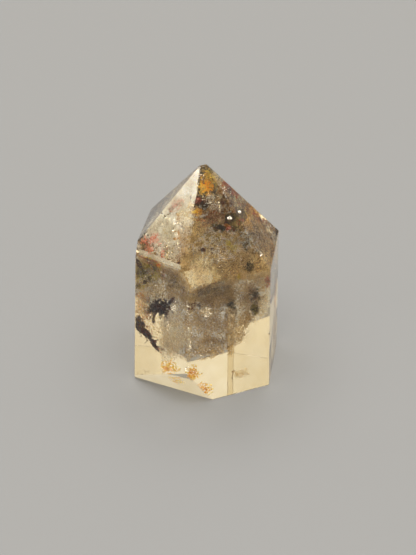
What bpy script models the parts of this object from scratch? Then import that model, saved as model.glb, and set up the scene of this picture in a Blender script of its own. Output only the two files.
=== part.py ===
"""A quartz point, ground to flat facets and polished, that stands on its base.

The point is one solid. A block is ground down by one cut for each facet, its
edges are eased, and a few small chips are broken out of them. Distances are in
millimetres and angles in degrees until MM turns them into Blender's metres.
+Z is up, the base lies at Z = 0 and the front edge faces -Y.
"""

import math

import bmesh
import bpy
from mathutils import Matrix, Vector

MM = 0.001

# Driving dimensions
WIDTH = 23.1
DEPTH = 22.3
HEIGHT = 42.9
EDGE_WEAR = 0.2
EDGE_WEAR_SEGMENTS = 2
EDGE_ANGLE_LIMIT = 12.0
GRINDING_ALLOWANCE = 8.0
CUT_TOLERANCE = 1e-6

# Half the turn from one prism facet to the next, which sets how far easing pulls an edge back
PRISM_HALF_TURN = 30.0

# Each facet is a plane: the heading of its outward normal (0 is +X, 90 is +Y),
# how far that normal leans up from level, and its distance from the middle of
# the base. Most of the prism is slightly wider at its foot.
PRISM_FACETS = {
    "front left": (-127.5, 1.0, 10.75),
    "front right": (-70.5, -1.3, 9.1),
    "right": (-8.5, 0.3, 10.9),
    "back right": (56.5, 0.6, 9.3),
    "back left": (109.5, 0.7, 10.5),
    "left": (170.0, 1.4, 10.6),
}

# The six facets of the point, each over the prism facet of the same name.
POINT_FACETS = {
    "front left": (-134.0, 33.2, 24.55),
    "front right": (-69.0, 29.3, 21.6),
    "right": (-4.5, 31.9, 22.85),
    "back right": (54.5, 28.9, 20.45),
    "back left": (110.5, 32.4, 22.7),
    "left": (159.0, 30.9, 22.6),
}

# Small facets: the blunt end of the point, the slanting cut under the front
# left of the foot, and a corner knocked off the left shoulder.
SMALL_FACETS = {
    "blunt tip": (23.5, 86.5, 42.75),
    "foot cut": (-111.5, -21.1, 7.75),
    "left shoulder": (-166.0, 20.0, 20.25),
}

# Chips on the edges: the two facets that meet there, the height of the chip,
# the radius of its hollow and how deep that hollow bites into the edge.
EDGE_CHIPS = (
    ("front left", "front right", 18.5, 0.62, 0.16),
    ("front left", "front right", 17.1, 0.50, 0.12),
    ("front left", "front right", 16.2, 0.72, 0.18),
    ("front left", "front right", 9.1, 0.55, 0.13),
    ("front right", "right", 12.4, 0.60, 0.14),
    ("right", "back right", 18.6, 0.70, 0.17),
    ("back right", "back left", 21.3, 0.80, 0.20),
    ("back left", "left", 9.8, 0.65, 0.16),
)
CHIP_FACETS_ROUND = 14
CHIP_FACETS_UP = 9

# Clear quartz with a warm smoky tint
QUARTZ_COLOUR = (0.86, 0.79, 0.68, 1.0)
QUARTZ_IOR = 1.544
QUARTZ_ROUGHNESS = 0.02


def clear_scene():
    for item in list(bpy.data.objects):
        bpy.data.objects.remove(item, do_unlink=True)


def new_collection(name):
    made = bpy.data.collections.new(name)
    bpy.context.scene.collection.children.link(made)
    return made


def quartz_material():
    made = bpy.data.materials.new("clear smoky quartz")
    made.use_nodes = True
    shader = made.node_tree.nodes["Principled BSDF"]
    shader.inputs["Base Color"].default_value = QUARTZ_COLOUR
    shader.inputs["Roughness"].default_value = QUARTZ_ROUGHNESS
    shader.inputs["Metallic"].default_value = 0.0
    shader.inputs["IOR"].default_value = QUARTZ_IOR
    shader.inputs["Transmission Weight"].default_value = 1.0
    return made


def facet_normal(heading, lean):
    heading = math.radians(heading)
    lean = math.radians(lean)
    level = math.cos(lean)
    return Vector((level * math.cos(heading), level * math.sin(heading), math.sin(lean)))


def grind_facet(rough, heading, lean, distance):
    """Cuts away what lies outside one facet and closes the cut with a flat face."""
    normal = facet_normal(heading, lean)
    cut = bmesh.ops.bisect_plane(
        rough,
        geom=rough.verts[:] + rough.edges[:] + rough.faces[:],
        dist=CUT_TOLERANCE,
        plane_co=normal * distance,
        plane_no=normal,
        clear_outer=True,
    )
    rim = [piece for piece in cut["geom_cut"] if isinstance(piece, bmesh.types.BMEdge)]
    bmesh.ops.contextual_create(rough, geom=rim)


def ground_point():
    """The block with all its facets cut, in millimetres, as a bmesh."""
    rough = bmesh.new()
    block = (WIDTH + GRINDING_ALLOWANCE, DEPTH + GRINDING_ALLOWANCE, HEIGHT + GRINDING_ALLOWANCE)
    place = Matrix.Translation((0, 0, block[2] / 2)) @ Matrix.Diagonal((*block, 1))
    bmesh.ops.create_cube(rough, size=1.0, matrix=place)
    for facets in (PRISM_FACETS, POINT_FACETS, SMALL_FACETS):
        for heading, lean, distance in facets.values():
            grind_facet(rough, heading, lean, distance)
    bmesh.ops.recalc_face_normals(rough, faces=rough.faces[:])
    return rough


def edge_point(first, second, height):
    """Where the edge between two prism facets passes a height, and the way out from there."""
    planes = [PRISM_FACETS[first], PRISM_FACETS[second]]
    normals = [facet_normal(heading, lean) for heading, lean, _ in planes]
    rows = Matrix((normals[0], normals[1], (0, 0, 1)))
    point = rows.inverted() @ Vector((planes[0][2], planes[1][2], height))
    return point, (normals[0] + normals[1]).normalized()


def add_object(name, mesh, collection, material=None):
    made = bpy.data.objects.new(name, mesh)
    collection.objects.link(made)
    if material:
        mesh.materials.append(material)
    return made


def quartz_tower(collection):
    rough = ground_point()
    bmesh.ops.scale(rough, vec=(MM, MM, MM), verts=rough.verts)
    mesh = bpy.data.meshes.new("quartz_tower")
    rough.to_mesh(mesh)
    rough.free()
    tower = add_object("quartz_tower", mesh, collection, quartz_material())
    wear = tower.modifiers.new("eased edges", "BEVEL")
    wear.width = EDGE_WEAR * MM
    wear.segments = EDGE_WEAR_SEGMENTS
    wear.limit_method = "ANGLE"
    wear.angle_limit = math.radians(EDGE_ANGLE_LIMIT)
    wear.use_clamp_overlap = True
    return tower


def break_chip(tower, number, chip, cutters):
    """Bites one shallow shell-shaped hollow out of an edge."""
    first, second, height, radius, bite = chip
    point, outward = edge_point(first, second, height)
    eased_back = EDGE_WEAR * (1 - math.cos(math.radians(PRISM_HALF_TURN)))
    centre = point + outward * (radius - bite - eased_back)
    hollow = bmesh.new()
    bmesh.ops.create_uvsphere(hollow, u_segments=CHIP_FACETS_ROUND, v_segments=CHIP_FACETS_UP, radius=radius * MM)
    turn = outward.to_track_quat("Z", "Y").to_matrix().to_4x4()
    bmesh.ops.transform(hollow, matrix=Matrix.Translation(centre * MM) @ turn, verts=hollow.verts)
    mesh = bpy.data.meshes.new(f"chip_{number}")
    hollow.to_mesh(mesh)
    hollow.free()
    cutter = add_object(f"chip_{number}", mesh, cutters)
    cutter.hide_render = True
    cutter.display_type = "WIRE"
    bite_out = tower.modifiers.new(f"chip {number}", "BOOLEAN")
    bite_out.operation = "DIFFERENCE"
    bite_out.object = cutter


def main():
    clear_scene()
    stone = new_collection("garden quartz tower")
    cutters = new_collection("chip cutters")
    tower = quartz_tower(stone)
    for number, chip in enumerate(EDGE_CHIPS, start=1):
        break_chip(tower, number, chip, cutters)


main()
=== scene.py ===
"""Looks of the garden quartz tower: a ground and polished six-sided quartz point, clear and faintly smoky, with a
moss bed, mineral clumps, dendrites, iron stains, pale veils and small bright fractures sealed inside it.

Everything is in metres, in the frame of the solid. The inclusions are meshes of many small mineral grains, and some
grains are painted light and shade: dark grains under the narrow left facet paint the shade of the dark floor, and
pale grains paint the sheen, edge highlights, glitter and light seen through a clear part. A grain lies where the
camera's own ray, bent by the quartz, meets it, or in a cloud that fills a share of the stone."""

import math
from collections import namedtuple

import bpy
import numpy as np
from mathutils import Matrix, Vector, noise
from mathutils.bvhtree import BVHTree


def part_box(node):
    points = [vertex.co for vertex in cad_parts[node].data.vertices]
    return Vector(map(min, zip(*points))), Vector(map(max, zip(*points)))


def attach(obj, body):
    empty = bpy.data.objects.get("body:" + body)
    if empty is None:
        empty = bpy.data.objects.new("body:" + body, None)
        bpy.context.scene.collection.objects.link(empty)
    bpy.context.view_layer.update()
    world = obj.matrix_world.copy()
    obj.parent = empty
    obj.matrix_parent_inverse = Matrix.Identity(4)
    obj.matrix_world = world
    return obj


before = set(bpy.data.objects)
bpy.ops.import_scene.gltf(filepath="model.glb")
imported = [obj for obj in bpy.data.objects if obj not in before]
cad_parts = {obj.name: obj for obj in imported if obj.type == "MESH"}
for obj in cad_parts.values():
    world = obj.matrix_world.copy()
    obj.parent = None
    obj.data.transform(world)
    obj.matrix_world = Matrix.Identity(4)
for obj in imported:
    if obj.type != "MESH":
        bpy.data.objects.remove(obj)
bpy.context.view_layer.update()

MM = 0.001
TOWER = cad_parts["quartz_tower"]
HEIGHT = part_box("quartz_tower")[1].z

# The camera: a long lens, looking down at 45 degrees on the front edge.
PHOTO_WIDTH = 416
PHOTO_HEIGHT = 555
FOCAL_PIXELS = 2500.0
SENSOR_WIDTH = 36.0
CAMERA_PLACE = Vector((0.00029, -0.27888, 0.29723))
LOOK = Vector((0.0, math.sqrt(0.5), -math.sqrt(0.5)))
SIDE = Vector((1.0, 0.0, 0.0))
UP = Vector((0.0, math.sqrt(0.5), math.sqrt(0.5)))
MM_PER_PIXEL = 0.16

QUARTZ_IOR = 1.544

# How near the polish a grain may come, the least area of a main facet, the digits of a normal that tell two facets
# apart, and between which heights the unit normals of the point's facets end.
SKIN = 0.12 * MM
MAIN_FACET_AREA = 2.0 * MM * MM
NORMAL_DIGITS = 2
POINT_FACET_RISE = (0.3, 0.9)

# Grain sizes in millimetres
MIDDLE = (0.13, 0.26)
FINE = (0.08, 0.16)
FLAKE = (0.16, 0.36)


def srgb(red, green, blue):
    """A linear colour from the 0 to 255 numbers that a screen shows."""
    def linear(value):
        value = value / 255.0
        return value / 12.92 if value <= 0.04045 else ((value + 0.055) / 1.055) ** 2.4

    return (linear(red), linear(green), linear(blue), 1.0)


class Stone:
    """The inside of the polished stone: where a ray enters it and which points lie within it."""

    def __init__(self, node):
        mesh = node.data
        corners = [vertex.co.copy() for vertex in mesh.vertices]
        self.tree = BVHTree.FromPolygons(corners, [tuple(face.vertices) for face in mesh.polygons])
        planes = {}
        for face in mesh.polygons:
            key = tuple(round(part, NORMAL_DIGITS) for part in face.normal)
            area, normal, reach = planes.get(key, (0.0, face.normal.copy(), face.normal.dot(face.center)))
            planes[key] = (area + face.area, normal, reach)
        main = [(normal, reach) for area, normal, reach in planes.values() if area > MAIN_FACET_AREA]
        self.normals = np.array([tuple(normal) for normal, reach in main])
        self.reaches = np.array([reach for normal, reach in main])
        least, most = POINT_FACET_RISE
        self.of_point = (self.normals[:, 2] > least) & (self.normals[:, 2] < most)
        self.low, self.high = (np.array(tuple(corner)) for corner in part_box(node.name))

    def depth(self, points):
        """How far each point lies inside the nearest facet's plane, negative outside the stone."""
        return (self.reaches - points @ self.normals.T).min(axis=1)

    def depth_below_point(self, points):
        """The same, for the slanting facets of the point alone."""
        return (self.reaches - points @ self.normals.T)[:, self.of_point].min(axis=1)

    def holds(self, point, margin):
        found = self.tree.find_nearest(Vector(point))
        return found[3] > margin and (found[0] - Vector(point)).dot(found[1]) > 0

    def entry(self, column, row):
        """Where the camera's ray through a photo pixel enters the stone, and its bent direction in the quartz."""
        across = (column - PHOTO_WIDTH / 2) / FOCAL_PIXELS
        upward = (PHOTO_HEIGHT / 2 - row) / FOCAL_PIXELS
        ray = (LOOK + across * SIDE + upward * UP).normalized()
        place, normal, face, distance = self.tree.ray_cast(CAMERA_PLACE, ray)
        if place is None:
            return None
        ratio = 1.0 / QUARTZ_IOR
        cosine = -normal.dot(ray)
        bent = ratio * ray + (ratio * cosine - math.sqrt(1 - ratio**2 * (1 - cosine**2))) * normal
        return place, bent.normalized()


stone = Stone(TOWER)


# Shapes of one grain, each with a radius of 1: corners and triangles
def tetrahedron():
    corners = np.array([(1, 1, 1), (1, -1, -1), (-1, 1, -1), (-1, -1, 1)]) / math.sqrt(3)
    return corners, np.array([(0, 1, 2), (0, 3, 1), (0, 2, 3), (1, 3, 2)])


def octahedron():
    corners = np.array([(1, 0, 0), (-1, 0, 0), (0, 1, 0), (0, -1, 0), (0, 0, 1), (0, 0, -1)], float)
    ring = [(0, 2), (2, 1), (1, 3), (3, 0)]
    return corners, np.array([(a, b, 4) for a, b in ring] + [(b, a, 5) for a, b in ring])


def turned_at_random(count, rng):
    """A random rotation matrix for each of count grains."""
    quaternion = rng.normal(size=(count, 4))
    w, x, y, z = (quaternion / np.linalg.norm(quaternion, axis=1, keepdims=True)).T
    rows = [
        (1 - 2 * (y * y + z * z), 2 * (x * y - z * w), 2 * (x * z + y * w)),
        (2 * (x * y + z * w), 1 - 2 * (x * x + z * z), 2 * (y * z - x * w)),
        (2 * (x * z - y * w), 2 * (y * z + x * w), 1 - 2 * (x * x + y * y)),
    ]
    return np.array(rows).transpose(2, 0, 1)


def turned_about(axis, spread, count, rng):
    """Rotation matrices that lay each grain flat across the axis, within a spread in degrees."""
    flat = np.array(axis) + rng.normal(0, math.tan(math.radians(spread)), (count, 3))
    flat /= np.linalg.norm(flat, axis=1, keepdims=True)
    along = np.cross(flat, rng.normal(size=(count, 3)))
    along /= np.linalg.norm(along, axis=1, keepdims=True)
    return np.stack([along, np.cross(flat, along), flat], axis=2)


# How long, wide and thick a grain is as a share of its size, and where a triangle lies in its cell of the bake map
GRAIN_LENGTH = (0.75, 1.25)
GRAIN_WIDTH = (0.6, 1.1)
GRAIN_THICKNESS = (0.6, 1.2)
BAKE_CORNERS = ((0.15, 0.15), (0.85, 0.15), (0.5, 0.85))


def grain_piece(name, slot, material, grains, rng, shape=tetrahedron, flatness=0.55, facing=None):
    """One piece made of a small closed grain at each (x, y, z, size). A bake map gives every grain its own cell."""
    grains = np.asarray(grains, float)
    corners, triangles = shape()
    count = len(grains)
    stretch = np.stack([rng.uniform(*GRAIN_LENGTH, count), rng.uniform(*GRAIN_WIDTH, count),
                        rng.uniform(*GRAIN_THICKNESS, count) * flatness], axis=1)
    points = corners[None] * (stretch * grains[:, 3:] / 2)[:, None, :]
    turns = turned_about(*facing, count, rng) if facing else turned_at_random(count, rng)
    points = np.einsum("gij,gkj->gki", turns, points) + grains[:, None, :3]
    faces = triangles[None] + (np.arange(count) * len(corners))[:, None, None]
    mesh = bpy.data.meshes.new(name)
    mesh.vertices.add(count * len(corners))
    mesh.vertices.foreach_set("co", points.reshape(-1))
    mesh.loops.add(count * len(triangles) * 3)
    mesh.loops.foreach_set("vertex_index", faces.reshape(-1))
    mesh.polygons.add(count * len(triangles))
    mesh.polygons.foreach_set("loop_start", np.arange(0, count * len(triangles) * 3, 3))
    cells = math.ceil(math.sqrt(count))
    cell = np.stack([np.arange(count) % cells, np.arange(count) // cells], axis=1)
    places = (np.tile(BAKE_CORNERS, (len(triangles), 1))[None] + cell[:, None, :]) / cells
    mesh.uv_layers.new(name="OFBake").uv.foreach_set("vector", places.reshape(-1))
    mesh.update(calc_edges=True)
    mesh.shade_flat()
    piece = bpy.data.objects.new(name, mesh)
    bpy.context.scene.collection.objects.link(piece)
    mesh.materials.append(material)
    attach(piece, "root")


# A patch is a group of grains seen at a place in the photo: a label for the reader, its centre and half widths in
# pixels, how deep it lies in millimetres, how many times over its grains would cover it, their sizes, how ragged it
# is, from 0 to 1.6, and how far it is turned in degrees. Noise eats into a ragged patch, most of all at its rim.
Patch = namedtuple("Patch", "name at half depth cover grain ragged turn", defaults=(0,))
GRAIN_SHARE = 0.34
EDGE_FALL = 1.2
RAGGED_GAIN = 1.3
RAGGED_LOSS = 0.4
NOISE_SHIFT = 50.0

# Fractal noise by how smooth it is, its lacunarity and its octaves
RAGGED_NOISE = (0.75, 2.0, 5)
CLOUD_NOISE = (0.7, 2.0, 4)


def patch_grains(patch, rng, feature):
    """The grains of a patch, each as (x, y, z, size)."""
    grains = []
    turn = math.radians(patch.turn)
    shift = Vector(rng.uniform(-NOISE_SHIFT, NOISE_SHIFT, 3))
    area = math.pi * patch.half[0] * patch.half[1] * MM_PER_PIXEL**2
    mean = sum(patch.grain) / 2
    for attempt in range(int(patch.cover * area / (GRAIN_SHARE * mean**2))):
        radius, angle = math.sqrt(rng.random()), rng.uniform(0, 2 * math.pi)
        right, down = radius * math.cos(angle) * patch.half[0], radius * math.sin(angle) * patch.half[1]
        column = patch.at[0] + right * math.cos(turn) - down * math.sin(turn)
        row = patch.at[1] + right * math.sin(turn) + down * math.cos(turn)
        depth, size = rng.uniform(*patch.depth) * MM, rng.uniform(*patch.grain) * MM
        entered = stone.entry(column, row)
        if entered is None:
            continue
        spot = entered[0] + depth * entered[1]
        ripple = noise.fractal(spot / (feature * MM) + shift, *RAGGED_NOISE)
        if EDGE_FALL * (1 - radius) + patch.ragged * (RAGGED_GAIN * ripple - RAGGED_LOSS) < 0:
            continue
        if stone.holds(spot, size / 2 + SKIN):
            grains.append((*spot, size))
    return grains


# A field is a group of grains with straight sides: its convex corners in pixels, clockwise in the photo, and over how
# many pixels it fades in from its sides. The rest is as in a patch.
Field = namedtuple("Field", "name corners depth cover grain fade")


def field_grains(field, rng):
    """The grains of a field, each as (x, y, z, size)."""
    grains = []
    corners = np.array(field.corners, float)
    sides = np.roll(corners, -1, axis=0) - corners
    inward = np.stack([-sides[:, 1], sides[:, 0]], axis=1) / np.linalg.norm(sides, axis=1, keepdims=True)
    low, high = corners.min(axis=0), corners.max(axis=0)
    area = np.prod(high - low) * MM_PER_PIXEL**2
    mean = sum(field.grain) / 2
    for attempt in range(int(field.cover * area / (GRAIN_SHARE * mean**2))):
        pixel = rng.uniform(low, high)
        if ((pixel - corners) * inward).sum(axis=1).min() < field.fade * rng.random():
            continue
        entered = stone.entry(*pixel.tolist())
        if entered is None:
            continue
        spot, size = entered[0] + rng.uniform(*field.depth) * MM * entered[1], rng.uniform(*field.grain) * MM
        if stone.holds(spot, size / 2 + SKIN):
            grains.append((*spot, size))
    return grains


# A dendrite is a stem that wanders over the photo and throws off side twigs: where it starts, which way it goes in
# degrees (0 right, 90 down), its length and half width in pixels, its depth and its grain sizes in millimetres.
Dendrite = namedtuple("Dendrite", "start heading length width depth grain")
STEM_STEP = 0.45
STEM_SWAY = 13.0
STEM_PULL = 0.06
STEM_NARROWING = 0.6
GRAINS_PER_STEP = 5

# A twig leaves a stem that is long enough at an angle in degrees, with a share of its length and width.
SHORT_STEM = 2.5
TWIG_CHANCE = 0.14
TWIG_ANGLE = (35, 80)
TWIG_LENGTH = (0.25, 0.5)
TWIG_WIDTH = 0.6
MOST_TWIG = 6.0


def stems(width, depth, grain, *courses):
    """Dendrites that differ only in their courses of (start, heading, length)."""
    return [Dendrite(*course, width, depth, grain) for course in courses]


def dendrite_grains(dendrite, rng):
    """The grains of a dendrite with its twigs, each as (x, y, z, size)."""
    grains = []
    waiting = [(dendrite.start, dendrite.heading, dendrite.length, dendrite.width)]
    while waiting:
        (column, row), heading, length, width = waiting.pop()
        steps = max(1, int(length / STEM_STEP))
        aim = heading
        for step in range(steps):
            heading += rng.normal(0, STEM_SWAY) + STEM_PULL * (aim - heading)
            column += STEM_STEP * math.cos(math.radians(heading))
            row += STEM_STEP * math.sin(math.radians(heading))
            narrow = width * (1 - STEM_NARROWING * step / steps)
            for grain in range(GRAINS_PER_STEP):
                entered = stone.entry(column + rng.normal(0, narrow), row + rng.normal(0, narrow))
                if entered is None:
                    continue
                spot = entered[0] + rng.uniform(*dendrite.depth) * MM * entered[1]
                size = rng.uniform(*dendrite.grain) * MM
                if stone.holds(spot, size / 2 + SKIN):
                    grains.append((*spot, size))
            if length > SHORT_STEM and rng.random() < TWIG_CHANCE:
                side = rng.choice((-1, 1)) * rng.uniform(*TWIG_ANGLE)
                twig = min(MOST_TWIG, length * rng.uniform(*TWIG_LENGTH))
                waiting.append(((column, row), heading + side, twig, width * TWIG_WIDTH))
    return grains


def cloud_grains(tries, density, grain, rng):
    """Grains scattered through the stone, kept with the chance that density(points) gives."""
    points = rng.uniform(stone.low, stone.high, (tries, 3))
    size = rng.uniform(*grain, tries) * MM
    chance = rng.random(tries)
    inside = stone.depth(points) > size / 2 + SKIN
    points, size, chance = points[inside], size[inside], chance[inside]
    keep = chance < density(points)
    kept = zip(points[keep], size[keep])
    return [(*point, across) for point, across in kept if stone.holds(point, across / 2 + SKIN)]


def ripples(points, feature, shift):
    """Fractal noise at each point, about -1 to 1, with lumps of the given size in millimetres."""
    offset = Vector(shift)
    return np.array([noise.fractal(Vector(point) / (feature * MM) + offset, *CLOUD_NOISE) for point in points])


# The light of the clear foot crosses the stone in one upright sheet, from the left face to the front-right one, which
# no grain stands in: where it starts and ends from above, its half thickness and its heights, in millimetres.
SHEET_START = np.array((-9.3, 7.2))
SHEET_END = np.array((6.0, -8.1))
SHEET_HALF = 0.6
SHEET_HEIGHTS = (5.0, 27.0)

# The clouds also leave the line of sight behind the cream field clear: its column and row in the photo, and its
# radius and reach in millimetres.
CLEAR_WINDOW = (201.0, 274.0, 2.0, 40.0)


def off_clear_sheet(grain):
    """Whether a grain (x, y, z, size) stands off the sheet that stays clear."""
    place = np.array(grain[:2]) / MM - SHEET_START
    along = (SHEET_END - SHEET_START) / np.linalg.norm(SHEET_END - SHEET_START)
    aside = abs(place[0] * along[1] - place[1] * along[0])
    low, high = SHEET_HEIGHTS
    return aside > SHEET_HALF or not low < grain[2] / MM < high


def off_clear_window(points):
    """1 for each point off the line of sight that stays clear, and 0 within its radius."""
    column, row, radius, reach = CLEAR_WINDOW
    place, bent = (np.array(tuple(part)) for part in stone.entry(column, row))
    along = (points - place) @ bent
    off = np.linalg.norm(points - place - along[:, None] * bent, axis=1)
    return np.where((along < reach * MM) & (off < radius * MM), 0.0, 1.0)


# The two ghosts lie in the stone below the facets of the point: how deep, how thick and how lumpy, in millimetres,
# where in the noise they start, and how strongly and from which level its lumps show.
GHOST_TRIES = 160000
Ghost = namedtuple("Ghost", "below thickness feature shift gain level")
TAN_GHOST = Ghost(3.4, 1.0, 1.8, (31.0, 12.0, 4.0), 1.8, -0.1)
BROWN_GHOST = Ghost(2.2, 0.7, 1.5, (13.0, 2.0, 5.0), 2.2, 0.12)


def ghost_cloud(ghost):
    """A cloud of (tries, density, grain) along a ghost, an older surface of the crystal where dust settled."""
    def density(points):
        under = stone.depth_below_point(points) / MM
        near = np.exp(-((under - ghost.below) / ghost.thickness) ** 2)
        lumps = ripples(points, ghost.feature, ghost.shift) - ghost.level
        return np.clip(ghost.gain * lumps, 0, 1) * near * off_clear_window(points)

    return GHOST_TRIES, density, MIDDLE


# The dust cloud: how many grains are tried, above which height it starts and over how many millimetres it thickens,
# how far back it reaches, the size of its lumps and their place in the noise, its share of grains without lumps, how
# strongly they show, and the least share.
DUST_TRIES = 50000
DUST_FOOT = 14.0
DUST_RISE = 6.0
DUST_BACK = 6.0
DUST_FEATURE = 2.6
DUST_SHIFT = (3.0, 7.0, 1.0)
DUST_SHARE = 0.2
DUST_GAIN = 1.1
DUST_LEAST = 0.01


def dust_density(points):
    rise = np.clip((points[:, 2] / MM - DUST_FOOT) / DUST_RISE, 0, 1) * (points[:, 1] < DUST_BACK * MM)
    lumps = ripples(points, DUST_FEATURE, DUST_SHIFT)
    return np.clip(DUST_SHARE + DUST_GAIN * lumps, DUST_LEAST, 1) * rise * off_clear_window(points)


# Materials
def principled(name, roughness, metallic=0.0, specular=0.5):
    material = bpy.data.materials.new(name)
    material.use_nodes = True
    shader = material.node_tree.nodes["Principled BSDF"]
    shader.inputs["Roughness"].default_value = roughness
    shader.inputs["Metallic"].default_value = metallic
    shader.inputs["Specular IOR Level"].default_value = specular
    return material, material.node_tree.nodes, material.node_tree.links, shader


def noise_node(nodes, links, place, feature, detail, roughness=0.6):
    """A noise texture with lumps of the given size in millimetres."""
    node = nodes.new("ShaderNodeTexNoise")
    node.inputs["Scale"].default_value = 1.0 / (feature * MM)
    node.inputs["Detail"].default_value = detail
    node.inputs["Roughness"].default_value = roughness
    links.new(place.outputs["Object"], node.inputs["Vector"])
    return node


def add_ramp(nodes, links, source, target, stops):
    """A colour ramp from one socket to another, through stops of (position, colour)."""
    ramp = nodes.new("ShaderNodeValToRGB")
    elements = ramp.color_ramp.elements
    elements[0].position, elements[0].color = stops[0]
    elements[1].position, elements[1].color = stops[-1]
    for position, colour in stops[1:-1]:
        elements.new(position).color = colour
    links.new(source, ramp.inputs["Fac"])
    links.new(ramp.outputs["Color"], target)


def add_bumps(nodes, links, place, shader, feature, detail, strength, height):
    """Bumps on a shader, with lumps of the given size and height in millimetres."""
    lumps = noise_node(nodes, links, place, feature, detail)
    bump = nodes.new("ShaderNodeBump")
    bump.inputs["Strength"].default_value = strength
    bump.inputs["Distance"].default_value = height * MM
    links.new(lumps.outputs["Fac"], bump.inputs["Height"])
    links.new(bump.outputs["Normal"], shader.inputs["Normal"])


# The tones of each mineral as a screen shows them, from dark to light
TONES = {
    "smoky dust": [(150, 120, 68), (194, 164, 106), (220, 194, 136), (246, 230, 184)],
    "tan moss": [(142, 112, 64), (202, 172, 112), (228, 202, 144), (248, 230, 184)],
    "brown moss": [(44, 18, 4), (118, 72, 24), (186, 142, 82), (234, 208, 160)],
    # Painted shade, not a mineral: the dark floor seen in the narrow left facet
    "painted floor shade": [(20, 12, 2), (44, 28, 8), (70, 48, 16)],
    "manganese oxide": [(24, 4, 0), (56, 18, 4), (112, 48, 14)],
    "chlorite": [(30, 26, 6), (62, 50, 14), (108, 86, 30), (160, 132, 66)],
    "pale chlorite": [(150, 128, 14), (206, 182, 62), (236, 224, 140)],
    "hematite": [(84, 6, 0), (140, 26, 4), (182, 54, 20), (204, 104, 60)],
    "iron bloom": [(208, 84, 48), (240, 136, 100), (250, 180, 148), (244, 202, 180)],
    "limonite": [(206, 96, 4), (244, 164, 24), (255, 212, 60), (255, 232, 110)],
    "pale limonite": [(232, 164, 10), (255, 216, 34), (255, 236, 60), (255, 244, 110)],
    # Partly painted light: sheen, edge highlights and glints
    "pale veil and painted highlights": [(216, 209, 190), (240, 237, 224), (254, 255, 252)],
    # Partly painted light: glitter, and light seen through clear quartz
    "cream veil and painted light": [(236, 216, 168), (250, 238, 202), (255, 252, 236)],
    "bright fracture": [(250, 244, 232), (255, 254, 250)],
}

# Lumps of colour from grain to grain and over whole regions, in millimetres, and the part of the noise's range that
# the tones fill
GRAIN_TONES = 0.35
REGION_TONES = 1.8
TONE_RANGE = (0.41, 0.59)
GRAIN_BUMPS = {"feature": 0.06, "detail": 3.0, "strength": 0.4, "height": 0.02}


def mineral(name, region=REGION_TONES, roughness=0.75, metallic=0.0, specular=0.08):
    """Grains whose colour wanders through the mineral's tones, both from grain to grain and over whole regions."""
    material, nodes, links, shader = principled(name, roughness, metallic, specular)
    place = nodes.new("ShaderNodeTexCoord")
    fine = noise_node(nodes, links, place, GRAIN_TONES, detail=4.0, roughness=0.7)
    broad = noise_node(nodes, links, place, region, detail=3.0)
    both = nodes.new("ShaderNodeMix")
    both.inputs["Factor"].default_value = 0.5
    links.new(fine.outputs["Fac"], both.inputs["A"])
    links.new(broad.outputs["Fac"], both.inputs["B"])
    tones = TONES[name]
    first, last = TONE_RANGE
    step = (last - first) / (len(tones) - 1)
    stops = [(first + step * number, srgb(*tone)) for number, tone in enumerate(tones)]
    add_ramp(nodes, links, both.outputs["Result"], shader.inputs["Base Color"], stops)
    add_bumps(nodes, links, place, shader, **GRAIN_BUMPS)
    return material


# The quartz has a faint tint in soft regions, the slight wave of polishing by hand, and smoke that takes light away
# with thickness.
QUARTZ_ROUGHNESS = 0.012
TINT_REGION = 4.5
TINTS = ((0.36, (0.92, 0.885, 0.79, 1.0)), (0.62, (1.0, 0.995, 0.97, 1.0)))
POLISH_WAVE = {"feature": 3.5, "detail": 2.0, "strength": 0.5, "height": 0.03}
SMOKE_COLOUR = (0.92, 0.85, 0.68, 1.0)
SMOKE_DENSITY = 34.0


def polished_quartz():
    """Clear quartz with a faint smoky warmth that deepens with thickness, polished by hand."""
    material, nodes, links, shader = principled("polished quartz", QUARTZ_ROUGHNESS)
    shader.inputs["IOR"].default_value = QUARTZ_IOR
    shader.inputs["Transmission Weight"].default_value = 1.0
    place = nodes.new("ShaderNodeTexCoord")
    tint = noise_node(nodes, links, place, TINT_REGION, detail=4.0)
    add_ramp(nodes, links, tint.outputs["Fac"], shader.inputs["Base Color"], TINTS)
    add_bumps(nodes, links, place, shader, **POLISH_WAVE)
    smoke = nodes.new("ShaderNodeVolumeAbsorption")
    smoke.inputs["Color"].default_value = SMOKE_COLOUR
    smoke.inputs["Density"].default_value = SMOKE_DENSITY
    links.new(smoke.outputs["Volume"], nodes["Material Output"].inputs["Volume"])
    return material


for material_slot in TOWER.material_slots:
    material_slot.material = polished_quartz()


# Inclusions
def build_piece(name, slot, material, seed, feature, parts, cloud=None, **shaping):
    """One piece from all its parts, and from a cloud of (tries, density, grain) if there is one. The noise that eats
    into its patches has lumps of the size feature, in millimetres."""
    rng = np.random.default_rng(seed)
    grains = []
    for part in parts:
        if isinstance(part, Patch):
            grains += patch_grains(part, rng, feature)
        elif isinstance(part, Field):
            grains += field_grains(part, rng)
        else:
            grains += dendrite_grains(part, rng)
    if cloud:
        grains += cloud_grains(*cloud, rng)
    grains = [grain for grain in grains if off_clear_sheet(grain)]
    grain_piece(name, slot, material, grains, rng, **shaping)


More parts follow.
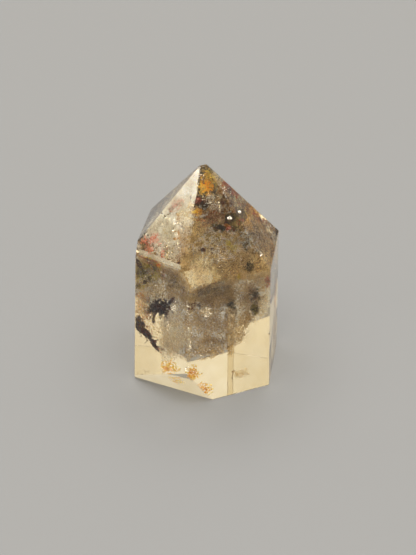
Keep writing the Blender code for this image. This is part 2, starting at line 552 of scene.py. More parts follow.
# A soft brown dust in the middle of the stone, which thins out towards the clear foot
build_piece("smoky_dust", "pale_veil", mineral("smoky dust"), seed=11, feature=1.8,
            cloud=(DUST_TRIES, dust_density, MIDDLE), parts=[
    Patch("middle curtain", (209, 320), (24, 38), (0.7, 4), 3.2, MIDDLE, 0.9),
    Field("under the cream field", ((191, 289), (232, 281), (246, 292), (240, 304), (196, 304)), (0.3, 1.6),
          2.4, MIDDLE, 5),
    Patch("left curtain", (180, 310), (17, 40), (0.8, 4.5), 1.6, MIDDLE, 1.1),
    Patch("right curtain", (246, 297), (22, 30), (0.8, 4.5), 2.8, MIDDLE, 0.9),
    Patch("right curtain, foot", (238, 331), (9, 23), (3.2, 5.2), 3.4, MIDDLE, 0.7, 28),
    Patch("between the curtains", (230, 314), (7, 44), (0.3, 1.6), 3.4, MIDDLE, 0.7),
    Patch("lower front", (207, 348), (22, 12), (0.3, 1.6), 2.4, MIDDLE, 0.8, -10),
    Field("foot smudge", ((231, 370), (247, 367), (250, 376), (235, 380)), (0.3, 1.4), 2.4, FINE, 4),
    Field("under the shoulder, right", ((190, 289), (270, 271.5), (270, 276), (190, 294)), (0.12, 0.8),
          2.4, FINE, 0.5),
    Field("under the shoulder, left", ((181, 271), (191, 288.5), (186, 291), (177, 275)), (0.12, 0.8),
          2.4, FINE, 0.5),
    Patch("beside the clear sheet", (243, 300), (9, 24), (0.8, 4), 1.2, MIDDLE, 0.6),
    Patch("upper curtain", (214, 296), (28, 12), (0.4, 2.5), 2, MIDDLE, 0.8, -4),
    Field("upper left curtain", ((163, 266), (181, 273), (190, 290), (189, 300), (166, 300)), (0.3, 2),
          4, MIDDLE, 4),
    Patch("below the left curtain", (176, 350), (16, 12), (0.3, 2), 1.4, FINE, 1, 25),
])

# The tan felt of fine fibres that fills the stone under the facets of the point
build_piece("tan_moss", "brown_bed", mineral("tan moss"), seed=12, feature=0.9, cloud=ghost_cloud(TAN_GHOST), parts=[
    Patch("front field", (214, 238), (31, 20), (0.6, 3), 2.4, MIDDLE, 0.9),
    Patch("front field, right", (240, 258), (18, 24), (0.6, 3), 3.2, MIDDLE, 0.7),
    Patch("front field, lower right", (234, 276), (21, 14), (0.8, 4), 2, MIDDLE, 1),
    Patch("front field, left", (194, 246), (9, 18), (0.8, 3.5), 1.6, MIDDLE, 0.9),
    Patch("beside the cream field", (186, 258), (7, 12), (0.2, 1.2), 3, MIDDLE, 0.8),
    Patch("right facet", (254, 236), (20, 26), (0.6, 4), 1.6, MIDDLE, 0.9, 35),
    Patch("right facet, low", (266, 262), (8, 18), (0.6, 3), 1.8, MIDDLE, 1),
    Patch("right facet, top", (216, 178), (9, 3), (0.2, 0.8), 2.4, FINE, 0.7, 50),
    Patch("left tan zone", (142, 305), (9, 20), (0.5, 2.5), 1.4, MIDDLE, 1.1),
    Patch("left of the middle", (158, 292), (20, 10), (0.6, 3), 2.2, MIDDLE, 1.1),
    Patch("left shoulder", (148, 274), (19, 18), (0.6, 1.8), 4, MIDDLE, 0.8, 14),
    Field("under the left rim", ((138, 255), (181, 271), (181, 277), (137, 263)), (0.5, 1.2), 2.6, FINE, 0.5),
    Patch("above the cream field", (188, 268), (9, 6), (0.6, 1.8), 3, MIDDLE, 0.6),
    Patch("below the field, right", (262, 281), (10, 10), (0.4, 2.5), 2.4, MIDDLE, 0.9),
    Patch("between the bright zones", (166, 330), (8, 34), (0.3, 1.6), 1.6, FINE, 0.9),
    Patch("milky facet, grey part", (185, 240), (8, 22), (0.15, 0.7), 0.9, FINE, 1, 6),
    Patch("between the dendrites", (157, 328), (11, 15), (0.3, 2), 0.9, FINE, 1.2, 30),
    Patch("right of the cream field", (221, 263), (9, 12), (0.3, 1.5), 2.4, MIDDLE, 0.9),
])

# The darker brown and rusty moss that hangs right under the tip
build_piece("brown_moss", "brown_bed", mineral("brown moss", region=0.9), seed=13, feature=0.7,
            cloud=ghost_cloud(BROWN_GHOST), parts=[
    Patch("band under the tip", (217, 213), (23, 14), (0.7, 2.2), 3.6, MIDDLE, 0.9, 12),
    Patch("left end of the band", (198, 214), (7, 7), (0.5, 2), 1.8, MIDDLE, 0.8),
    Patch("beside the tip, right", (224, 196), (12, 7), (0.4, 2.2), 1.8, MIDDLE, 0.9, 45),
    Patch("right facet, upper edge", (248, 210), (15, 7), (0.2, 1.4), 3.6, MIDDLE, 0.9, 40),
    Patch("right facet, beside the front", (228, 198), (16, 7), (0.2, 1), 5, MIDDLE, 0.8, 55),
    Patch("right facet, far corner", (268, 226), (10, 5), (0.2, 1.2), 4, MIDDLE, 0.7, 45),
    Patch("right narrow face", (274, 272), (3, 22), (0.2, 1.4), 4, MIDDLE, 0.5),
    Patch("right facet clots", (256, 238), (18, 19), (0.2, 1.2), 2.8, MIDDLE, 1.4, 35),
    Patch("right edge line", (261, 221), (14, 1.6), (0.15, 0.5), 4, FINE, 0.8, 40),
    Patch("front field clots", (226, 252), (28, 24), (0.2, 1.2), 0.8, FINE, 1.5),
    Patch("left shoulder", (146, 272), (15, 16), (0.4, 1.2), 1.6, MIDDLE, 1.5, 14),
    Patch("left shoulder, brown edge", (162.5, 275), (2.2, 6), (0.22, 0.5), 4, FINE, 0.9),
    Patch("below the front field", (222, 298), (24, 9), (0.6, 4), 0.8, MIDDLE, 1.2, -6),
    Patch("line across the shoulder", (217.5, 281), (13.5, 0.9), (0.2, 0.4), 4, FINE, 0.7, -29),
    Patch("brown streak in the milky facet", (173, 207), (8, 2.2), (0.15, 0.5), 0.8, FINE, 1.1, -35),
    Patch("left tan zone flecks", (141, 308), (8, 17), (0.12, 0.5), 0.7, FINE, 1.4),
    Patch("around the right clump", (252, 300), (13, 17), (0.6, 4), 1.6, MIDDLE, 1.2),
    Patch("right clump, brown top", (254, 293), (6, 7), (0.2, 0.6), 2.4, FINE, 1.1),
    Patch("middle clots", (208, 325), (22, 26), (0.8, 4), 0.5, MIDDLE, 1.5),
    Patch("milky facet, brown part", (184, 246), (7, 18), (0.15, 0.6), 0.9, FINE, 1.2, 14),
    Patch("specks on the cream field", (200, 272), (14, 14), (0.1, 0.3), 0.5, FINE, 1.4),
])

# Painted shade: nearly black olive grains under the narrow left facet of the point, which stand in for the dark
# floor that this facet shows by reflection and through the base
build_piece("painted_floor_shade", "brown_bed", mineral("painted floor shade"), seed=14, feature=0.7, parts=[
    Patch("left facet", (160, 202), (46, 5), (0.15, 0.6), 8, MIDDLE, 0.4, -53),
    Patch("left facet, low", (141, 233), (12, 4), (0.15, 0.6), 7, MIDDLE, 0.4, -53),
])

# Black-brown dendrites on the left and specks elsewhere
build_piece("manganese_dendrites", "dark_mineral", mineral("manganese oxide"), seed=21, feature=0.45, parts=[
    Patch("left dendrite", (159.5, 307), (12.5, 8.5), (0.25, 0.8), 12, MIDDLE, 1.1, -8),
    *stems(0.6, (0.25, 0.8), FINE, ((151, 301), -120, 5), ((158, 300), -80, 5), ((164, 300), -60, 6),
           ((149, 308), 175, 5), ((158, 314), 100, 6), ((169, 309), 25, 5)),
    Dendrite((152, 306), 0, 16, 1.8, (0.2, 0.8), MIDDLE),
    *stems(1.4, (0.2, 0.8), MIDDLE, ((151, 311), -30, 16), ((160, 310), -150, 13)),
    Dendrite((167, 304), -48, 12, 1, (0.2, 0.45), FINE),
    Patch("left dendrite, right arm", (171, 301), (5.5, 1.8), (0.2, 0.45), 8, FINE, 0.3, -48),
    Patch("left dendrite, drip", (153.5, 319), (1.6, 5.5), (0.25, 0.7), 8, FINE, 0.5, 6),
    Dendrite((154, 312), 92, 8, 0.7, (0.25, 0.7), FINE),
    *stems(0.6, (0.2, 0.8), FINE, ((161, 313), 80, 5), ((166, 312), 60, 7)),
    *stems(0.7, (0.2, 0.8), FINE, ((150, 303), -140, 6), ((156, 300), -100, 6), ((150, 311), 150, 6)),
    Patch("edge dendrite, top", (139.5, 324), (5.5, 9), (0.3, 0.9), 12, MIDDLE, 0.7, -14),
    Patch("edge dendrite, middle", (146, 333), (8, 3.4), (0.3, 0.9), 12, MIDDLE, 0.6, 50),
    Patch("edge dendrite, low", (154, 344), (9, 2.4), (0.3, 0.9), 12, MIDDLE, 0.6, 56),
    Dendrite((143, 329), 55, 10, 1, (0.25, 0.8), MIDDLE),
    Dendrite((149, 337), 57, 10, 0.9, (0.25, 0.8), MIDDLE),
    Dendrite((155, 346), 60, 9, 0.8, (0.25, 0.8), FINE),
    *stems(0.6, (0.25, 0.8), FINE, ((141, 331), 95, 6), ((147, 337), 100, 5), ((145, 327), 10, 5),
           ((151, 336), 15, 4)),
    Patch("left edge blade", (138.8, 263.5), (2.2, 6), (0.15, 0.5), 6, FINE, 0.2, -28),
    Patch("left speck", (145, 282), (2, 2.2), (0.19, 0.4), 9, FINE, 0.1),
    Patch("upper speck", (203, 250), (2.4, 2), (0.19, 0.35), 12, FINE, 0),
    Patch("upper speck, right", (212, 249), (1.6, 1.2), (0.15, 0.5), 5, FINE, 0.1),
    Patch("upper speck, lower", (212, 253), (1.1, 1), (0.15, 0.5), 4, FINE, 0.1),
    Patch("dark core", (203, 204), (6, 6), (0.15, 0.7), 8, MIDDLE, 0.9, 20),
    Patch("dark core, left end", (197, 201), (3, 5), (0.15, 0.7), 5, FINE, 0.8),
    Patch("right of the core", (223, 202), (3.6, 2.8), (0.15, 0.6), 6, FINE, 0.7, 30),
    Patch("under the band", (220, 228), (7, 2.8), (0.15, 0.6), 7, FINE, 0.9, 4),
    Patch("under the band, right", (234, 230), (2.6, 2.4), (0.15, 0.6), 5, FINE, 0.7),
    Patch("specks in the band", (215, 214), (20, 12), (0.15, 0.6), 0.5, FINE, 1.4, 12),
    Patch("flecks below the band", (244, 243), (4, 3.5), (0.15, 0.6), 2, FINE, 1.2),
    Dendrite((191, 309), -62, 12, 0.7, (0.6, 1.2), FINE),
    Dendrite((190, 309), 10, 5, 0.8, (0.6, 1.2), FINE),
    Patch("edge spot", (272, 253), (3, 6), (0.4, 1.5), 3, MIDDLE, 0.6),
    Patch("scattered specks", (222, 255), (34, 28), (0.15, 0.5), 0.14, FINE, 0.9),
    Patch("scattered specks, right", (256, 236), (16, 20), (0.15, 0.5), 0.2, FINE, 0.9, 30),
    Patch("scattered specks, middle", (200, 300), (36, 24), (0.2, 1), 0.08, FINE, 0.9),
    Patch("scattered specks, left", (147, 274), (15, 15), (0.15, 0.5), 0.5, FINE, 1.3, 10),
])

# Green-black clumps, and the green moss at the left shoulder
build_piece("chlorite_moss", "green_mineral", mineral("chlorite"), seed=22, feature=0.6, parts=[
    Patch("round clump under the point", (230.5, 222), (6.5, 9.5), (0.4, 1), 6, MIDDLE, 0.4),
    Patch("round clump, right", (241.5, 215.5), (5.5, 8), (0.4, 1), 6, MIDDLE, 0.4, -10),
    Patch("under the point", (219, 228), (9, 4.5), (0.2, 1), 6, MIDDLE, 1.2, 5),
    Patch("right of it", (234, 229), (6, 4), (0.2, 1), 5, MIDDLE, 1.2),
    Patch("right clump", (255, 309), (4.6, 6.8), (0.2, 1.2), 10, MIDDLE, 0.8),
    Patch("right clump, upper part", (254.5, 295), (6.5, 8), (0.3, 1.4), 5, MIDDLE, 1.3),
    Field("upper left haze", ((164, 268), (181, 273), (189, 288), (186, 292), (164, 290)), (0.2, 1),
          0.8, MIDDLE, 5),
    Patch("haze under the cream field", (209, 289), (20, 4.5), (0.2, 1), 0.6, MIDDLE, 1.2, -12),
    Field("grey below the line", ((196, 290), (231, 275), (234, 288), (214, 297), (198, 298)), (0.25, 0.9),
          0.7, MIDDLE, 1.5),
    Patch("clump above", (249, 266), (6, 5), (0.2, 1.2), 4, MIDDLE, 1.3),
    Patch("olive spot", (231.5, 305), (5, 6), (0.2, 0.5), 5, FINE, 0.9),
    Patch("left moss", (144, 271), (13, 11), (0.4, 1), 3, MIDDLE, 1.5, 14),
    Patch("left moss, dark green", (141, 273), (5, 5), (0.22, 0.5), 5, FINE, 1.2),
    Patch("left moss, lower clot", (151, 279), (5, 3.5), (0.22, 0.5), 5, FINE, 1.2, 20),
    Patch("left moss, upper clot", (156, 269), (3, 3), (0.22, 0.5), 5, FINE, 1.2),
    Patch("left moss, edge clot", (138, 285), (3, 4), (0.22, 0.5), 4, FINE, 1.2),
    Patch("tip haze", (208, 180), (7, 14), (0.5, 2.4), 1, MIDDLE, 1, -14),
    Patch("right facet threads", (256, 236), (18, 18), (0.2, 0.9), 2.2, MIDDLE, 1.5, 30),
    Patch("grey-green field", (214, 238), (18, 7), (0.2, 1), 0.5, FINE, 1.3),
    Patch("coral, grey part", (149, 245), (5, 5), (0.15, 0.5), 0.9, FINE, 1.2),
])

# Yellow-green flecks of paler chlorite
build_piece("olive_flecks", "green_mineral", mineral("pale chlorite"), seed=27, feature=0.4, parts=[
    Patch("beside the milky facet", (169, 246), (5, 16), (0.3, 0.9), 1.4, FINE, 1.3, 8),
    Patch("gold fleck", (227.5, 243), (3.6, 3.4), (0.15, 0.5), 4, FINE, 1),
    Patch("olive fleck", (233, 249), (7, 4.5), (0.15, 0.6), 2.4, FINE, 1.3),
    Patch("olive fleck, lower", (240, 277), (4, 3), (0.15, 0.6), 4, FINE, 1),
    Patch("right clump, green", (255, 309), (5, 7), (0.15, 0.5), 1.4, FINE, 1.1),
    Patch("tip flecks", (211, 179), (5.5, 11), (0.15, 0.7), 1.6, FINE, 1.4, -18),
    Patch("left moss flecks", (147, 273), (16, 16), (0.22, 0.5), 2.6, FINE, 1.6, 14),
    Patch("left moss, gold top", (147, 266), (5, 3), (0.22, 0.45), 4, FINE, 1.1, 15),
    Patch("left moss, gold middle", (156, 276), (5, 4), (0.22, 0.45), 4, FINE, 1.1),
    Patch("left moss, gold left", (139, 278), (4, 5), (0.22, 0.45), 3, FINE, 1.2),
    Patch("left moss, gold low", (142, 287), (6, 3), (0.22, 0.45), 3, FINE, 1.2),
    Patch("tint in the milky facet", (166, 234), (5, 9), (0.12, 0.4), 0.7, FINE, 1.3, 20),
    Patch("field haze", (212, 238), (16, 7), (0.3, 0.8), 0.5, FINE, 1.4),
])

# Dark red iron along the right silhouette and in specks
build_piece("hematite_specks", "red_iron", mineral("hematite"), seed=23, feature=0.5, parts=[
    Patch("right silhouette band", (230, 188), (14, 6), (0.2, 1), 7, MIDDLE, 1, 44),
    Patch("right strip", (261, 219), (14, 2.6), (0.12, 0.7), 5, MIDDLE, 0.9, 40),
    Patch("below the band", (243, 204), (9, 5), (0.4, 2), 1, MIDDLE, 1.2, 42),
    Patch("dark core, red side", (198, 201), (3.5, 4), (0.15, 0.6), 3, FINE, 0.7),
    Patch("red specks", (228.5, 228), (3, 3.6), (0.12, 0.4), 4, FINE, 0.9),
    Patch("red in the round clump", (242, 220), (3, 2), (0.12, 0.4), 3, FINE, 0.9),
    Patch("rim line", (149, 259.5), (13, 1), (0.12, 0.5), 3, FINE, 0.9, 20),
    Patch("right lower", (268, 281), (3.5, 8), (0.8, 2.4), 3, MIDDLE, 0.8),
    Patch("left tan zone flecks", (142, 303), (8, 17), (0.3, 1), 0.5, FINE, 1.4),
    Patch("under the dendrite", (148, 315), (5, 6), (0.3, 0.9), 2.2, FINE, 1.2),
    Patch("end of the edge dendrite", (160, 349), (4.5, 5), (0.3, 0.9), 2, FINE, 1.2, 30),
    Patch("along the edge dendrite", (148, 334), (13, 6), (0.2, 0.6), 1, FINE, 1.3, 48),
    Patch("beside the shoulder", (163, 276), (2.5, 5), (0.3, 0.9), 2, FINE, 0.8),
    Patch("front field flecks", (218, 222), (22, 18), (0.3, 0.8), 0.35, FINE, 1.5),
])

# Coral-red iron bloom under the front-left facet
build_piece("coral_smears", "red_iron", mineral("iron bloom", region=0.9), seed=28, feature=0.35, parts=[
    Patch("coral smear, left", (144.5, 241), (5, 3.6), (0.12, 0.5), 2.2, FINE, 1.4),
    Patch("coral smear, top", (155, 238), (4.4, 6), (0.12, 0.5), 2, FINE, 1.4, 20),
    Patch("coral smear, low", (149, 249), (4.5, 6), (0.12, 0.5), 2.8, FINE, 1.4),
    Patch("coral fleck by the round clump", (228.5, 228), (3, 3), (0.12, 0.4), 2.6, FINE, 1.1),
    Patch("coral beside the dark core", (197, 201), (2.4, 3), (0.12, 0.4), 2.2, FINE, 1),
    *stems(0.5, (0.12, 0.5), FINE, ((143, 241), 0, 10), ((152, 243), -70, 10), ((147, 244), 80, 11)),
    Dendrite((153, 241), 40, 8, 0.4, (0.12, 0.5), FINE),
    Dendrite((162.5, 249), 95, 9, 0.8, (0.12, 0.5), FINE),
    Dendrite((161, 255), -20, 4, 0.7, (0.12, 0.5), FINE),
    Patch("rosy speckle", (176, 205), (10, 5), (0.15, 0.6), 1.2, FINE, 1.3, -40),
    Patch("rosy speckle, low", (160, 240), (14, 10), (0.2, 0.8), 0.2, FINE, 1.4, 10),
    Patch("rim orange", (159, 265), (3, 2), (0.12, 0.5), 3, FINE, 0.7),
])

# Orange iron stains: the spot under the tip with its neighbours, and paler ones at the foot
build_piece("limonite_stains", "orange_iron", mineral("limonite"), seed=24, feature=0.45, parts=[
    Patch("tip spot", (206, 188), (8, 8), (0.12, 0.6), 4.5, FINE, 1.4),
    Patch("tip spot, fringe", (207, 182), (7, 12), (0.12, 0.8), 1.2, FINE, 1.5, -8),
    Patch("left of the core", (198, 212), (6, 4), (0.12, 0.8), 3, FINE, 1.3, -10),
    Patch("round clump flecks", (227, 226), (4, 3), (0.12, 0.5), 1.4, FINE, 1),
    Patch("shoulder gold", (150, 266), (14, 8), (0.22, 0.45), 0.9, FINE, 1.5, 20),
    Patch("shoulder orange", (158.5, 265), (3.4, 2.4), (0.22, 0.45), 5, FINE, 0.9, 20),
    Patch("left tan zone, orange", (142, 305), (8, 18), (0.22, 0.5), 1.1, FINE, 1.4),
    Patch("between the dendrites", (150, 320), (11, 13), (0.12, 0.5), 1, FINE, 1.4, 30),
])

build_piece("limonite_foot", "orange_iron", mineral("pale limonite"), seed=30, feature=0.45, parts=[
    Patch("foot, left", (169, 367), (9, 7.5), (0.2, 0.8), 4.6, MIDDLE, 1.3, 10),
    *stems(0.8, (0.2, 0.8), FINE, ((164, 372), -45, 12), ((166, 369), 20, 12)),
    Patch("foot, left lower", (177, 380), (9, 3.5), (0.2, 0.8), 4, MIDDLE, 1.3, 15),
    Patch("foot, middle", (193, 372), (6, 8), (0.2, 0.8), 4, MIDDLE, 1.4, 20),
    *stems(0.8, (0.2, 0.8), FINE, ((194, 374), 5, 9), ((190, 378), -75, 12), ((187, 375), -30, 10)),
    Patch("foot, right", (207, 389), (7, 6), (0.2, 0.8), 3, MIDDLE, 1.5, 35),
    *stems(0.7, (0.2, 0.8), FINE, ((198, 384), 30, 12), ((201, 391), -15, 10)),
])

# Milky veils under the front-left facet of the point and in wisps elsewhere, partly painted light: the denser
# pale grains near the ridge and the tip paint the facet's sheen, thin pale lines under the ridges of the point and
# along the front edge paint edge highlights, and the sparkle, highlight and glitter specks paint glints
build_piece("pale_veils_and_painted_highlights", "pale_veil", mineral("pale veil and painted highlights", roughness=0.5), seed=25, feature=0.7, flatness=0.35,
            facing=((-0.3, -0.55, 0.78), 30), parts=[
    # Partly painted sheen: the denser pale grains near the tip
    Patch("milky facet, upper", (183, 194), (10, 26), (0.2, 1.2), 3.2, FINE, 0.6, 26),
    Patch("left shoulder flecks", (149, 276), (15, 14), (0.12, 0.4), 0.8, FINE, 1.5, 10),
    Patch("milky facet, lower", (161, 229), (22, 20), (0.2, 1), 5, MIDDLE, 0.7, 30),
    Patch("milky facet, left side", (167, 208), (5, 7), (0.2, 0.8), 3.5, FINE, 0.6, 30),
    # Painted edge highlight: a thin pale strip beside the ridge
    Field("milky facet, beside the edge", ((195, 169), (199.3, 169), (194.8, 204), (190.5, 204)), (0.12, 0.5),
          4, FINE, 0.5),
    Field("pale rim", ((139, 248.5), (181, 265), (181, 270), (139, 254)), (0.12, 0.5), 4, FINE, 0.6),
    Patch("milky facet, foot", (168, 250), (22, 12), (0.3, 1.6), 2.2, MIDDLE, 0.8, 10),
    Patch("milky facet, right", (184, 228), (8, 26), (0.4, 1.6), 1.8, MIDDLE, 0.9, 8),
    # Painted glints and edge highlights: pale sparkle specks, and thin pale lines under the ridges
    Patch("facet sparkle cloud", (170, 221), (9, 6), (0.15, 0.5), 2.4, FINE, 1.1, 20),
    Patch("pale edge between the facets", (224, 193), (15, 1), (0.12, 0.3), 2.2, FINE, 0.9, 59),
    Patch("pale edge, lower", (252, 240), (24, 0.8), (0.12, 0.3), 1, FINE, 1.1, 59),
    Patch("pale threads in the field", (218, 244), (30, 20), (0.12, 0.4), 0.85, FINE, 1.4),
    Patch("pale threads, right facet", (254, 234), (16, 20), (0.12, 0.4), 1.1, FINE, 1.5, 30),
    Patch("pale corner", (274, 237), (4, 9), (0.12, 0.5), 2, FINE, 0.8, -20),
    # Painted glints: pale highlight specks and glitter in place of sparkle
    Patch("highlights in the band", (215, 206), (18, 9), (0.2, 0.7), 0.4, FINE, 1.5, 12),
    Patch("glitter, middle", (205, 311), (8, 8), (0.4, 1.2), 1.6, FINE, 1.3),
    Patch("glitter, left", (174, 310), (5, 10), (0.4, 1.2), 1.6, FINE, 1.3),
    Patch("glitter, left lower", (167, 328), (5, 8), (0.4, 1.2), 1.4, FINE, 1.3),
    Patch("middle wisps", (208, 330), (20, 24), (0.4, 1.6), 0.35, FINE, 1.5),
    Patch("pale streak", (231.5, 330), (11, 1.6), (0.5, 1.2), 1.6, FINE, 0.7, -59),
    # Painted edge highlight along the front edge
    Patch("front edge wisps", (189, 342), (1.6, 24), (0.3, 0.9), 0.9, FINE, 1.2),
    Patch("left corner", (138, 246), (3, 4), (0.2, 0.6), 3, FINE, 0.7),
    Patch("beside the dark core", (211, 196), (6, 5), (0.3, 1), 1, FINE, 1.2),
    Patch("pale thread in the band", (202, 216), (7, 1.8), (0.3, 0.8), 1.6, FINE, 0.9, -15),
    Patch("right narrow streak", (274, 344), (1.4, 16), (0.3, 0.9), 2.5, FINE, 0.6, 6),
    Patch("lower left wisps", (173, 338), (14, 24), (0.2, 1.2), 2.2, FINE, 1.1, 12),
    Patch("left moss, pale middle", (151, 273), (3, 2), (0.22, 0.45), 3, FINE, 1),
    Patch("left moss, pale low", (158, 282), (4, 2.5), (0.22, 0.45), 2.4, FINE, 1.1),
    Patch("left moss, pale edge", (148, 289), (6, 3), (0.22, 0.45), 2.4, FINE, 1.2),
    Patch("between the curtains", (230, 326), (6, 28), (0.2, 1), 0.5, FINE, 1.1),
    Patch("between the bright zones", (166, 340), (7, 26), (0.3, 1.2), 1, FINE, 1.1),
    Patch("right wisps", (240, 334), (9, 16), (0.4, 2), 0.6, FINE, 1.2, 25),
])

# The clean cream-coloured field at the foot of the front facet of the point, partly painted light: its pale grains
# paint the light seen there through a clear part of the stone, a patch brightens the upper end of the bright zone at
# the right, and the glitter of the same colour is painted sparkle
build_piece("cream_field_and_painted_light", "pale_veil", mineral("cream veil and painted light", roughness=0.5), seed=29, feature=0.5, flatness=0.35,
            facing=((0.1, -0.6, 0.79), 20), parts=[
    # Partly painted light: pale grains where light comes through a clear part of the stone
    Field("cream field", ((183, 272), (201, 265), (212, 272), (213, 279), (211, 284), (191.5, 288)), (0.12, 0.8),
          4, MIDDLE, 2),
    Patch("cream field, top", (200, 264), (13, 7), (0.12, 0.8), 1.6, FINE, 1.2),
    # Painted light: brightens the bright zone at the right
    Patch("right bright zone, upper", (264, 305), (6, 15), (0.2, 1), 1.6, FINE, 1.1, 10),
    Patch("left tan zone", (142, 303), (8, 18), (0.22, 0.6), 1.6, FINE, 1.3),
    Patch("lower left wisps", (173, 336), (13, 22), (0.25, 1), 1.6, FINE, 1, 12),
    # Painted glints: pale glitter in place of sparkle
    Patch("glitter, middle", (206, 311), (7, 6), (0.12, 0.5), 3.2, FINE, 1.4),
    Patch("glitter, left", (174, 308), (4.5, 8), (0.4, 0.9), 2.4, FINE, 1.5),
    Patch("glitter, left lower", (167, 327), (4.5, 7), (0.12, 0.5), 1.8, FINE, 1.5),
    Patch("glitter, front edge", (189.5, 340), (1.3, 24), (0.12, 0.4), 1.6, FINE, 1.5),
])

# Small silvery flakes along cracks that turn the light back, each crack with the way that its plane faces
CRACKS = {
    "right_prism": ((0.16, -0.84, 0.52), [
        Patch("middle glitter", (206, 312), (6.5, 5), (0.3, 0.6), 4.5, FLAKE, 1),
        Patch("front edge chips", (190, 348), (1.6, 14), (0.3, 0.6), 0.8, FLAKE, 1.2, 2),
        Patch("lower front chips", (205, 352), (18, 4), (0.3, 1), 0.3, FLAKE, 1.2, -10),
    ]),
    "left_prism": ((-0.32, -0.79, 0.53), [
        Patch("left glitter", (174, 307), (3.6, 6), (0.3, 0.6), 2.2, FLAKE, 1.2),
        Patch("left glitter, lower", (168, 326), (3.6, 5), (0.3, 0.6), 1.6, FLAKE, 1.2),
        Patch("front edge chips, top", (187.5, 318), (1.4, 24), (0.3, 0.6), 0.3, FLAKE, 1.2),
        Patch("foot highlight", (186.5, 370), (1.2, 3.4), (0.3, 0.6), 3, FLAKE, 0.2, 8),
        Patch("upper left flecks", (149, 274), (14, 14), (0.25, 0.5), 0.25, FLAKE, 1.4),
    ]),
    "front": ((0.13, -0.62, 0.77), [
        Patch("front sparkle", (229.5, 218), (2, 1.7), (0.3, 0.5), 7, FLAKE, 0.3, 25),
        Patch("tip glints", (203, 175), (3, 5), (0.3, 0.6), 0.25, FLAKE, 1),
        Patch("band glints", (210, 200), (12, 8), (0.2, 0.6), 0.08, FINE, 1.2, 12),
        Patch("field glints", (224, 258), (20, 16), (0.2, 0.6), 0.02, FINE, 1.2),
    ]),
    "right": ((0.49, -0.30, 0.82), [
        Patch("right sparkle", (239.5, 212), (1.7, 1.5), (0.3, 0.5), 7, FLAKE, 0.3, 45),
        Patch("right facet sparkles", (261, 253), (4.5, 1.3), (0.3, 0.6), 1.4, FLAKE, 0.8, 25),
        Patch("upper right glints", (226, 190), (8, 4), (0.3, 0.6), 0.4, FLAKE, 1, 45),
        Patch("far corner glints", (271, 226), (4, 3), (0.3, 0.6), 0.3, FLAKE, 1, 45),
    ]),
    "left": ((-0.29, -0.53, 0.80), [
        Patch("facet sparkles", (170, 221), (8, 5), (0.2, 0.7), 1, FLAKE, 1.2, 20),
        Patch("left corner highlight", (138.5, 245), (2.4, 3), (0.2, 0.5), 1.6, FLAKE, 0.8),
        Patch("facet glints", (168, 236), (20, 20), (0.2, 0.7), 0.1, FLAKE, 1.3, 30),
    ]),
}
silver = mineral("bright fracture", roughness=0.12, metallic=1.0, specular=0.5)
for seed, (side, (plane, patches)) in enumerate(CRACKS.items(), start=31):
    build_piece(f"bright_fractures_{side}", "bright_fracture", silver, seed, 0.7, patches,
                shape=octahedron, flatness=0.12, facing=(plane, 10))


# Stage, light and camera
def stage_sheet(name, corners, material):
    mesh = bpy.data.meshes.new(name)
    mesh.from_pydata(corners, [], [(0, 1, 2, 3)])
    sheet = bpy.data.objects.new(name, mesh)
    bpy.context.scene.collection.objects.link(sheet)
    mesh.materials.append(material)
    return sheet


def pale_floor():
    """A plain pale board, a hair below the foot, so that light still turns back at the polished base."""
    half, drop = 0.6, 0.1 * MM
    material, nodes, links, shader = principled("pale board", 0.75)
    shader.inputs["Base Color"].default_value = srgb(116, 117, 119)
    corners = [(-half, -half, -drop), (half, -half, -drop), (half, half, -drop), (-half, half, -drop)]
    stage_sheet("floor", corners, material)


def split_generated(nodes, links):
    """The separate X, Y and Z of the generated coordinates."""
    place = nodes.new("ShaderNodeTexCoord")
    split = nodes.new("ShaderNodeSeparateXYZ")
    links.new(place.outputs["Generated"], split.inputs["Vector"])
    return split.outputs


# The light from the world by the height that it comes from, 0 at the horizon and 1 straight above
WORLD_LIGHT = (
    (0.1, (0.80, 0.71, 0.54, 1.0)),
    (0.70, (0.96, 0.86, 0.64, 1.0)),
    (0.79, (1.1, 1.0, 0.8, 1.0)),
    (0.94, (6.5, 6.4, 6.2, 1.0)),
)


def soft_world():
    """An even studio light, warm half way up and dimmer near the horizon, with a large white softbox overhead."""
    world = bpy.data.worlds.new("soft light")
    bpy.context.scene.world = world
    world.use_nodes = True
    nodes, links = world.node_tree.nodes, world.node_tree.links
    height = split_generated(nodes, links)["Z"]
    add_ramp(nodes, links, height, nodes["Background"].inputs["Color"], WORLD_LIGHT)


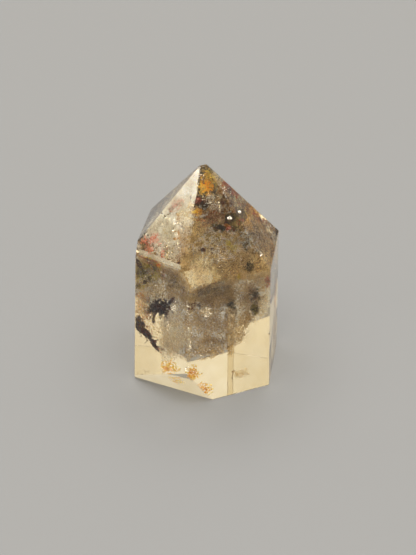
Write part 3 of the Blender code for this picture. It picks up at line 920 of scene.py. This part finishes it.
# The glow of the card from its foot, 0, to its top, 1, and where its middle stands, in metres
CARD_LIGHT = (
    (0.45, (0.075, 0.066, 0.050, 1.0)),
    (0.66, (0.20, 0.18, 0.145, 1.0)),
    (0.85, (1.0, 0.95, 0.85, 1.0)),
)
CARD_STRENGTH = 11.0
CARD_PLACE = (-0.56, -0.16, 0.13)


def soft_card():
    """A glowing card at the left, brightest at its top, which gives the front-left facet its creamy sheen."""
    material = bpy.data.materials.new("card")
    material.use_nodes = True
    nodes, links = material.node_tree.nodes, material.node_tree.links
    nodes.remove(nodes["Principled BSDF"])
    glow = nodes.new("ShaderNodeEmission")
    glow.inputs["Strength"].default_value = CARD_STRENGTH
    add_ramp(nodes, links, split_generated(nodes, links)["Y"], glow.inputs["Color"], CARD_LIGHT)
    links.new(glow.outputs["Emission"], nodes["Material Output"].inputs["Surface"])
    side, low, high = 0.12, -0.045, 0.055
    card = stage_sheet("card", [(-side, low, 0), (side, low, 0), (side, high, 0), (-side, high, 0)], material)
    card.location = CARD_PLACE
    aim = Vector((0.0, 0.0, HEIGHT / 2)) - card.location
    card.rotation_euler = aim.to_track_quat("-Z", "Y").to_euler()


def camera():
    lens = bpy.data.cameras.new("camera")
    lens.sensor_fit = "HORIZONTAL"
    lens.sensor_width = SENSOR_WIDTH
    lens.lens = SENSOR_WIDTH * FOCAL_PIXELS / PHOTO_WIDTH
    lens.clip_start = 0.01
    eye = bpy.data.objects.new("camera", lens)
    bpy.context.scene.collection.objects.link(eye)
    eye.location = CAMERA_PLACE
    eye.rotation_euler = LOOK.to_track_quat("-Z", "Y").to_euler()
    bpy.context.scene.camera = eye


def light_paths():
    """Long light paths, which clear quartz with grains inside needs."""
    scene = bpy.context.scene
    scene.view_settings.view_transform = "Standard"
    scene.cycles.max_bounces = 48
    scene.cycles.transmission_bounces = 48
    scene.cycles.glossy_bounces = 24
    scene.cycles.diffuse_bounces = 12
    scene.cycles.transparent_max_bounces = 16
    scene.cycles.min_light_bounces = 16
    scene.cycles.blur_glossy = 0.0


pale_floor()
soft_world()
soft_card()
camera()
light_paths()
